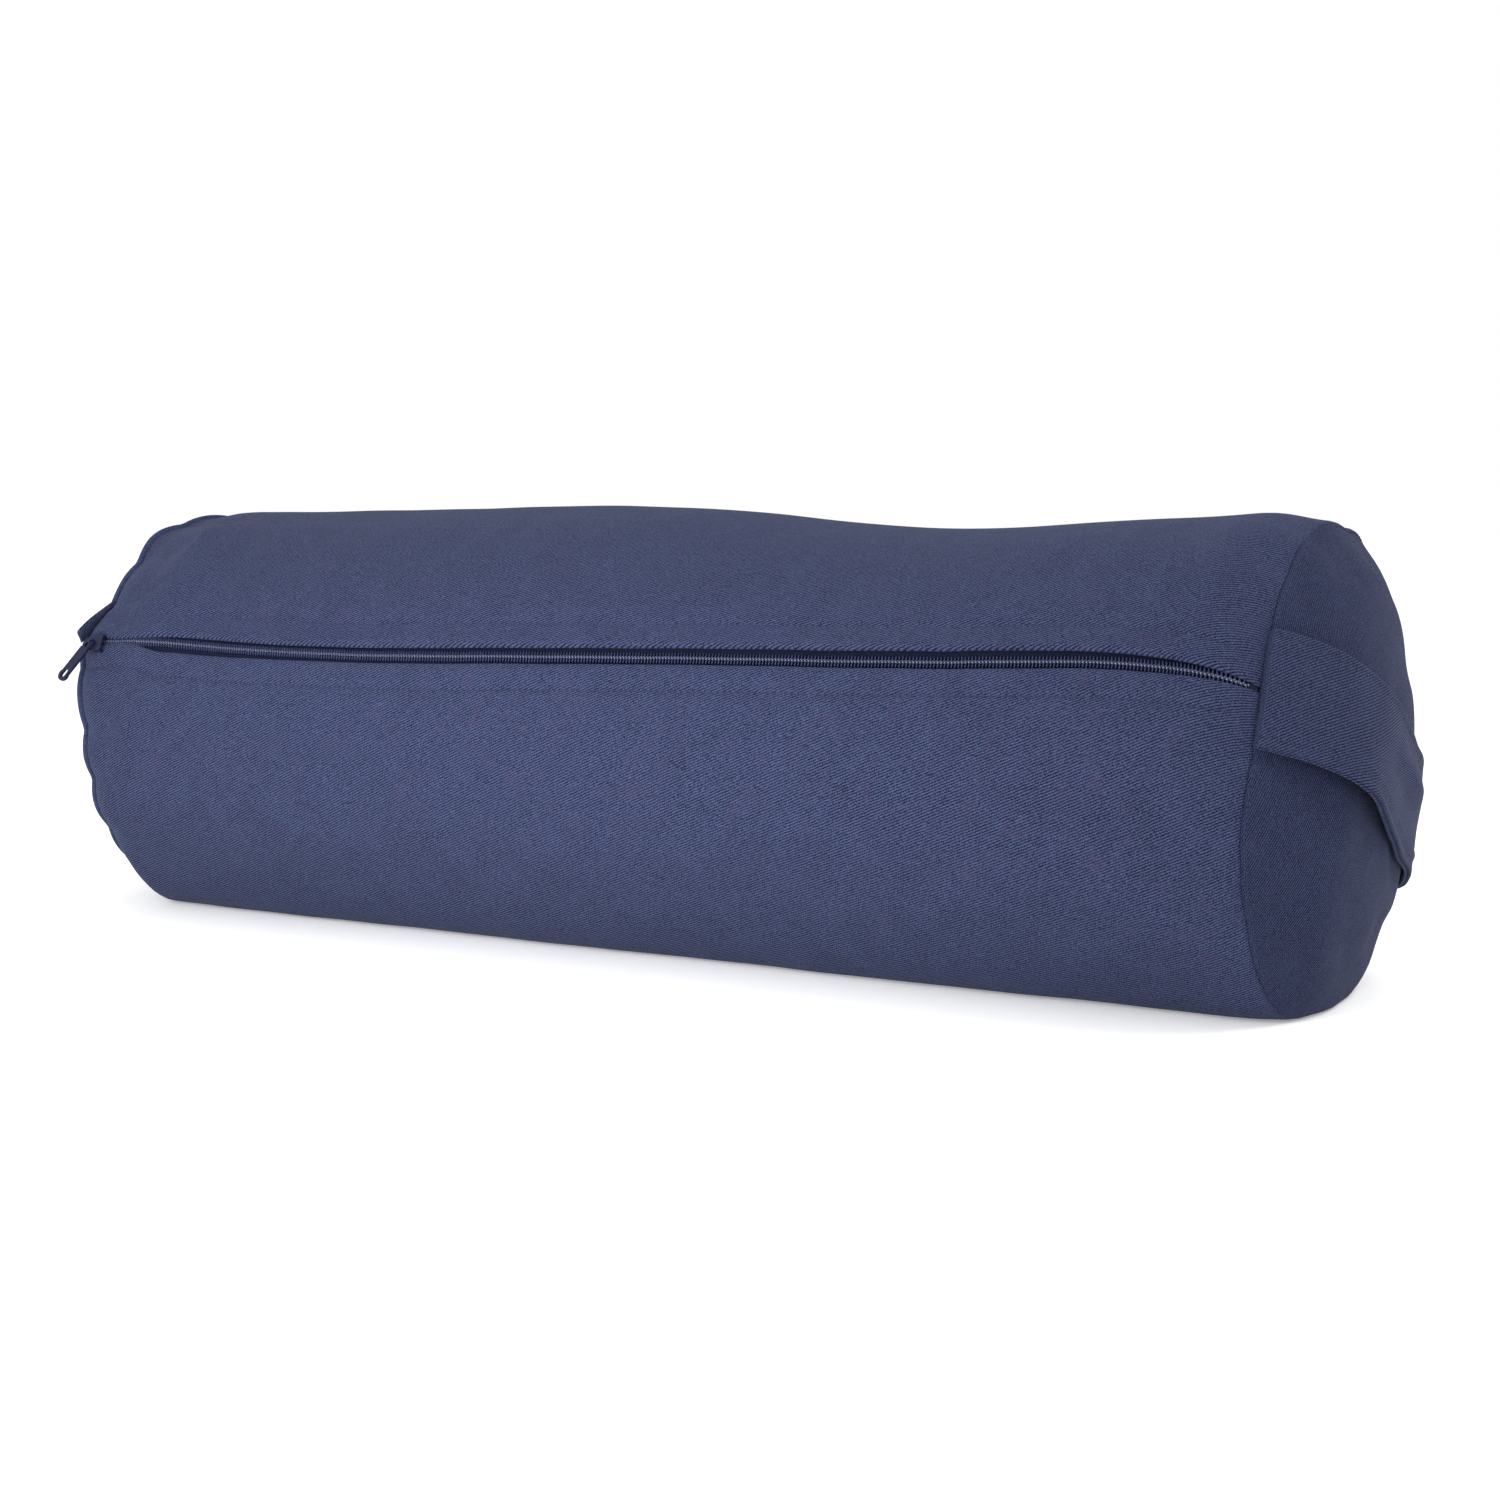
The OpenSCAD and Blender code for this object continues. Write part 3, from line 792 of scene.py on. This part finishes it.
def seam_parts():
    """Inside each end seam: the raw edges that lie inwards, and the row of stitches that holds them."""
    a = np.linspace(0, 2 * math.pi, 241)
    depths = np.array([2.4, 6.0, 10.0, 13.0])
    for end, word in ((RIGHT_END, "right"), (LEFT_END, "left")):
        rows = []
        for layer in (-0.9 * MM, 0.9 * MM):
            for depth in depths if layer < 0 else depths[::-1]:
                fray = 0.5 * np.sin(60 * a) if depth > 12 else 0.0
                x, edge = end.rim(a)
                rows.append(round_body(x + layer, a, edge - (depth + fray) * MM))
        band = grid_object("raw_seam_" + word, np.array(rows).transpose(1, 0, 2), wrap=True, caps=True)
        finish_piece(band, "cover", PLAIN_TWILL, "cover_twill", "seam_allowance_" + word)

        def row_of_stitches(q, dip, end=end):
            x, edge = end.rim(q / RADIUS)
            return round_body(x + end.side * 1.3 * MM, q / RADIUS, edge - 3.2 * MM + dip)

        paths = stitched(row_of_stitches, 0.0, 2 * math.pi * RADIUS)
        thread = tubes_object("seam_thread_" + word, paths, 0.25 * MM, up=(1, 0, 0))
        finish_piece(thread, "cover", THREAD, "thread", "end_seam_thread_" + word)


# ---------------------------------------------------------------- zip
def strip(name, x, q_of, reach, h_of, thick, material, slot, *nodes):
    """A thin strip along the zip. q_of(x, d) and h_of(x, d) place the points at distances d across it."""
    rows, cloth = [], []
    for layer in (0.0, -thick):
        for d in reach if layer == 0 else reach[::-1]:
            rows.append(on_body(x, q_of(x, d), h_of(x, d) + layer))
            cloth.append(np.stack([x, np.full(len(x), d)], -1))
    points = np.array(rows).transpose(1, 0, 2)
    piece = grid_object(name, points, np.array(cloth).transpose(1, 0, 2), wrap=True, caps=True)
    tidy_normals(piece)
    finish_piece(piece, "cover", material, slot, *nodes)


def zip_tapes():
    x = np.linspace(3.4 * MM - SEAM_X, SEAM_X - 1.5 * MM, 220)
    reach = np.array([0.15, 1.0, 2.0, 3.2, 4.5, 6.5, 9.0, 12.0]) * MM
    for word, sign, node in (("top", 1, "zip_tape_upper"), ("bottom", -1, "zip_tape_lower")):
        strip("zip_tape_" + word, x, lambda x, d: zip_q(x) + sign * d, reach,
              lambda x, d: TAPE_DEPTH - 0.3 * d * smooth(0.26, 0.30, x), 0.55 * MM, TAPE, "zip_tape", node)


def zip_coils():
    """Each side of the chain: a flattened helix of nylon, with the heads that lock in the middle."""
    start, stop = SLIDER_X + 1.0 * MM, SEAM_X - 3 * MM
    t = np.arange(int((stop - start) / TEETH_PITCH) * COIL_STEPS + 1) / COIL_STEPS
    for word, sign, node in (("top", 1, "zip_coil_upper"), ("bottom", -1, "zip_coil_lower")):
        phase = 2 * math.pi * (t + (0.5 if sign < 0 else 0.0))
        x = start + TEETH_PITCH * t
        reach = COIL_MIDDLE + COIL_WIDTH / 2 * np.cos(phase)     # past the middle, below 0, the heads lock
        lift = COIL_DEPTH + COIL_HEIGHT / 2 * np.sin(phase)
        head = smooth(0.3, 1.0, -np.cos(phase))
        path = on_body(x, zip_q(x) + sign * reach, lift)
        rings = tube(path, (0.33 + 0.15 * head) * MM, sides=8)
        # the cloth map's v is 1 on a head, where the coil's material paints its highlight
        cloth = np.stack(np.broadcast_arrays(x[:, None], head[:, None] + np.zeros(8)), -1)
        piece = grid_object("zip_coil_" + word, rings, cloth, wrap=True, caps=True)
        tidy_normals(piece)
        finish_piece(piece, "cover", COIL, "zip_coil", node)


def topstitching():
    for word, sign, node in (("top", 1, "zip_topstitch_upper"), ("bottom", -1, "zip_topstitch_lower")):
        def row(x, dip):
            return on_body(x, fold_q(x, sign) + sign * STITCH_AT, dip - 0.55 * MM * clear_of_seams(x))

        paths = stitched(row, 8 * MM - SEAM_X, SEAM_X - 6 * MM)
        piece = tubes_object("topstitch_" + word, paths, 0.26 * MM)
        finish_piece(piece, "cover", THREAD, "thread", node)


def bar_tacks():
    """Close stitches across each end of the zip."""
    tacks = (("right", SEAM_X - 3.0 * MM, -2.6 * MM), ("left", 2.0 * MM - SEAM_X, -3.6 * MM))
    for word, middle, depth in tacks:
        paths = []
        for k in range(9):
            x = np.full(7, middle + (k - 4) * 0.35 * MM)
            d = np.linspace(-4.5, 4.5, 7) * MM
            paths.append(on_body(x, zip_q(x) + d, depth + 0.3 * MM * np.cos(d / (4.5 * MM) * math.pi / 2)))
        piece = tubes_object("bar_tack_" + word, paths, 0.24 * MM)
        finish_piece(piece, "cover", THREAD, "thread", "zip_bartack_" + word)


def tape_tail():
    """The cut end of the zip's tape in its turned cloth, which stands out of the plain end's seam."""
    length, steps, across = 36 * MM, 30, 14
    t = np.linspace(0, 1, steps)
    root = on_body(np.full(steps, -SEAM_X), 40 * MM, -4.0 * MM)
    way = unit(np.array([-3.5, -24.0, -17.5]))         # down and outwards, past the seam's puffs
    out = unit(np.array([-1.0, -0.25, 0.3]))
    side = unit(np.cross(way, out))
    middle = root + t[:, None] * way * length + (1.5 * MM * np.sin(2.4 * t))[:, None] * out
    half = (2.2 + 2.6 * smooth(0, 0.7, t) + 0.3 * np.sin(9 * t)) * MM
    rows = []
    turn = np.linspace(0, 2 * math.pi, across, endpoint=False)
    for b in turn:
        ragged = 1.1 * MM * np.sin(7 * b) * smooth(0.9, 1.0, t)
        thick = 0.9 * MM * math.sin(b) * (1 + 0.5 * math.cos(3 * b))
        flat = side * (half * math.cos(b))[:, None] + out * thick
        rows.append(middle + flat + way * ragged[:, None])
    points = np.array(rows).transpose(1, 0, 2)
    cloth = np.stack(np.broadcast_arrays(t[:, None] * length, turn[None] * 3.0 * MM), -1)
    piece = grid_object("tape_tail", points, cloth, wrap=True, caps=True)
    tidy_normals(piece)
    finish_piece(piece, "cover", BODY_TWILL, "zip_tape", "zip_tape_tail")


def softened(name, node, body, width):
    """A small painted part: the CAD node's own shape with its edges rounded."""
    mesh = bpy.data.objects[node].data.copy()
    with editing(mesh) as form:
        bmesh.ops.remove_doubles(form, verts=form.verts, dist=0.01 * MM)
        bmesh.ops.dissolve_limit(form, angle_limit=math.radians(3), verts=form.verts, edges=form.edges)
        sharp = [e for e in form.edges if e.is_manifold and e.calc_face_angle(0) > math.radians(35)]
        bmesh.ops.bevel(form, geom=sharp, offset=width, segments=2, profile=0.6, affect="EDGES",
                        clamp_overlap=True)
    mesh.shade_smooth()
    mesh.name = name
    piece = bpy.data.objects.new(name, mesh)
    bpy.context.scene.collection.objects.link(piece)
    finish_piece(piece, body, PAINT, "zip_metal", node)


# ---------------------------------------------------------------- strap
STRAP_HALF = 26 * MM                 # half the strap's width
SECTION_HALF = 25.0                  # half the width in which the strap's section is drawn, in millimetres
# Along the strap, front to back, in millimetres: how far its middle lies above the line across the end at
# the zip's angle, how high its middle stands over the crowned end, and how much higher its lower edge stands
STRAP_RISE = [(0, 6), (0.08, 6.5), (0.20, 5.5), (0.32, 2), (0.50, -1.8), (0.65, 0.6), (0.80, 3.7), (1, 6)]
STRAP_HEIGHT = [(0, 1.0), (0.14, 4.5), (0.28, 5.0), (0.46, 1.2), (0.65, 0.4), (1, 0.4)]
STRAP_TILT = [(0, 0), (0.12, 1.5), (0.30, 2.5), (0.50, 0), (0.70, 0), (1, 0)]


def strap_base(t, v):
    """The point of the crowned end under the strap. t runs from front root to back, v across, -1 to 1."""
    t, v = np.broadcast_arrays(t, v)
    w = STRAP_HALF * v + curve(STRAP_RISE, t) * MM
    lean = np.arcsin(np.clip(w / (98 * MM), -1, 1))
    share = np.sin(math.pi * (0.5 - t))
    edge = np.where(share > 0, RIGHT_END.edge(ZIP_ANGLE + lean), RIGHT_END.edge(ZIP_ANGLE + math.pi - lean))
    s = share * np.sqrt(edge ** 2 - w ** 2)
    a = ZIP_ANGLE + np.arctan2(w, s)
    return RIGHT_END.point(a, np.hypot(s, w))


def strap_normals(base):
    ahead, across = np.gradient(base, axis=0), np.gradient(base, axis=1)
    return unit(np.cross(ahead, across))


def strap_lift(t, v):
    """Height of the strap's middle layer over the end."""
    sewn = 1 - smooth(0.0, 0.03, t) * smooth(0.0, 0.03, 1 - t)
    free = smooth(0.02, 0.30, t) * smooth(0.02, 0.30, 1 - t)
    kink = 4.5 * bell(t, 0.52, 0.10) * np.clip(1 - np.abs(v - 0.25) / 0.4, 0, 1)
    stand = curve(STRAP_HEIGHT, t) - curve(STRAP_TILT, t) * v + 1.0 * v ** 2
    return (1.75 - 5.0 * sewn + free * stand + kink) * MM


def strap_section():
    """The folded strap's section: place across it, -1 to 1, and height from its middle, anticlockwise."""
    v = np.linspace(-23.6, 23.2, 48)
    puff = 1.75 + 0.25 * bell(v, 0, 15) - 0.4 * bell(v, 21.0, 1.0) - 0.4 * bell(v, -20.6, 1.0)
    face = puff + 0.55 * bell(v, -16.5, 1.1) - 0.2 * bell(v, -15.0, 0.8)
    lip = np.radians(np.linspace(100, 250, 7))
    outer_lip = np.stack([-24.2 + 0.9 * np.cos(lip), 0.85 + 0.9 * np.sin(lip)], -1)
    inner_lip = np.stack([-24.9 + 0.9 * np.cos(lip + 0.2), -0.95 + 0.8 * np.sin(lip + 0.2)], -1)
    fold = np.radians(np.linspace(-80, 80, 9))
    nose = np.stack([23.3 + 1.7 * np.cos(fold), 1.7 * np.sin(fold)], -1)
    back = np.stack([v, -puff], -1)
    front = np.stack([v, face], -1)[::-1]
    groove = np.array([[-23.9, 0.0]])
    section = np.concatenate([back, nose, front, outer_lip, groove, inner_lip])
    return section[:, 0] / SECTION_HALF, section[:, 1] * MM


def evened(grid, passes):
    """A grid of points with its small bumps smoothed away; the ends of its lanes stay where they are."""
    for _ in range(passes):
        grid = np.concatenate([grid[:1], (grid[:-2] + 2 * grid[1:-1] + grid[2:]) / 4, grid[-1:]])
        wide = np.concatenate([2 * grid[:, :1] - grid[:, 1:2], grid, 2 * grid[:, -1:] - grid[:, -2:-1]], 1)
        grid = (wide[:, :-2] + 2 * wide[:, 1:-1] + wide[:, 2:]) / 4
    return grid


STRAP_RULE = 70                      # the point of the section along which the strap's length is measured
STRAP_STEPS = np.linspace(0, 1, 121)
STRAP_LANES = np.linspace(-1.1, 1.1, 23)


def rows_at(grid, share):
    """The rows of a grid at shares of its length, 0 to 1, mixed from the rows beside them."""
    at = np.clip(share, 0, 1) * (len(grid) - 1)
    k = np.clip(at.astype(int), 0, len(grid) - 2)
    part = (at - k)[:, None, None]
    return grid[k] * (1 - part) + grid[k + 1] * part


def strap_points(t, v, h):
    """Points of the strap at t along it, v across, and heights h above its middle layer."""
    even = evened(strap_base(STRAP_STEPS[:, None], STRAP_LANES[None]), 8)
    normal = unit(rows_at(strap_normals(even), t))
    middle = rows_at(even, t) + normal * strap_lift(t[:, None], STRAP_LANES[None])[..., None]
    lane = (v - STRAP_LANES[0]) / (STRAP_LANES[-1] - STRAP_LANES[0])
    middle, normal = (rows_at(part.swapaxes(0, 1), lane).swapaxes(0, 1) for part in (middle, normal))
    return middle + unit(normal) * h[..., None]


def strap():
    t = 0.5 - 0.5 * np.cos(np.linspace(0, math.pi, 150))
    t = 0.65 * np.linspace(0, 1, 150) + 0.35 * t
    v, h = strap_section()
    points = strap_points(t, v, h)
    steps = np.linalg.norm(np.diff(points[:, STRAP_RULE], axis=0), axis=1)
    length = np.concatenate([[0], np.cumsum(steps)])
    cloth = np.stack(np.broadcast_arrays(length[:, None], v[None] * STRAP_HALF), -1)
    piece = grid_object("strap", points, cloth, wrap=True, caps=True)
    tidy_normals(piece)
    finish_piece(piece, "handle", SHADED_STRAP_TWILL, "strap_twill", "handle_grip", "handle_tail_front",
                 "handle_tail_back")
    rows = []
    for place, height in ((21.0, 1.45), (-20.6, 1.45), (21.0, -1.45), (-20.6, -1.45)):
        def row(along, dip, place=place, height=height):
            share = np.interp(along, length, t)
            rise = height * MM + math.copysign(1, height) * dip
            return strap_points(share, np.full(1, place / SECTION_HALF), rise[:, None])[:, 0]

        rows += stitched(row, 8 * MM, float(length[-1]) - 8 * MM)
    thread = tubes_object("strap_stitching", rows, 0.26 * MM, up=(1, 0.01, 0))
    finish_piece(thread, "handle", THREAD, "thread", "handle_stitching")


# ---------------------------------------------------------------- what the cover holds
def inner_shape(inset):
    """A closed form that follows the filled cover from inside, inset below it."""
    a = np.linspace(0, 2 * math.pi, 120, endpoint=False)
    shares = np.linspace(0.0, 1.0, 18)[1:-1]
    press = 3.4 * MM * bell(a, ZIP_ANGLE, 0.2)           # the zip presses the bag in
    rows = []
    for end, order in ((LEFT_END, shares), (RIGHT_END, shares[::-1])):
        cap = []
        for k in order:
            p = end.point(a, end.edge(a) * k)
            middle = p * [1, 0, 0] + [0, 0, AXIS_Z]
            away = unit(p - middle)
            cap.append(p - away * (inset + press)[:, None] * k - [end.side * inset, 0, 0])
        rows.append(cap)
    body = []
    for x in np.linspace(-SEAM_X + 4 * MM, SEAM_X - 4 * MM, 100):
        draw_in = 2.5 * MM * bell(abs(x), SEAM_X, 12 * MM)
        body.append(on_cover(x, a, -inset - press - draw_in))
    points = np.array(rows[0] + body + rows[1])
    points[..., 2] = np.maximum(points[..., 2], inset * 0.8)
    return points


def inner_parts():
    bag = grid_object("inner_bag", inner_shape(3.4 * MM), wrap=True, caps=True, flip=True)
    finish_piece(bag, "cover", BAG_CLOTH, "inner_cloth", "inner_bag_panel", "inner_bag_end_right",
                 "inner_bag_end_left")
    hulls = grid_object("hull_filling", inner_shape(5.0 * MM), wrap=True, caps=True, flip=True)
    finish_piece(hulls, "cover", HULLS, "filling", "filling")
    low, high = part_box("inner_bag_closing_stitch")

    def row(y, dip):
        a = np.arccos(np.clip(-y / RADIUS, -1, 1))
        return on_cover(low.x + 0 * a, a, dip - 5.2 * MM)

    paths = stitched(row, low.y, high.y, 5 * MM, 2 * MM)
    closing = tubes_object("bag_closing_stitch", paths, 0.3 * MM, up=(1, 0, 0))
    finish_piece(closing, "cover", BAG_THREAD, "thread", "inner_bag_closing_stitch")


camera()
studio()
settle()
cover_body()
cover_end("cover_end_right", RIGHT_END, "cover_end_panel_right")
cover_end("cover_end_left", LEFT_END, "cover_end_panel_left")
seam_parts()
zip_tapes()
zip_coils()
topstitching()
bar_tacks()
tape_tail()
softened("zip_slider_body", "zip_slider", "slider", 0.25 * MM)
softened("zip_puller", "zip_pull_tab", "pull_tab", 0.25 * MM)
strap()
inner_parts()
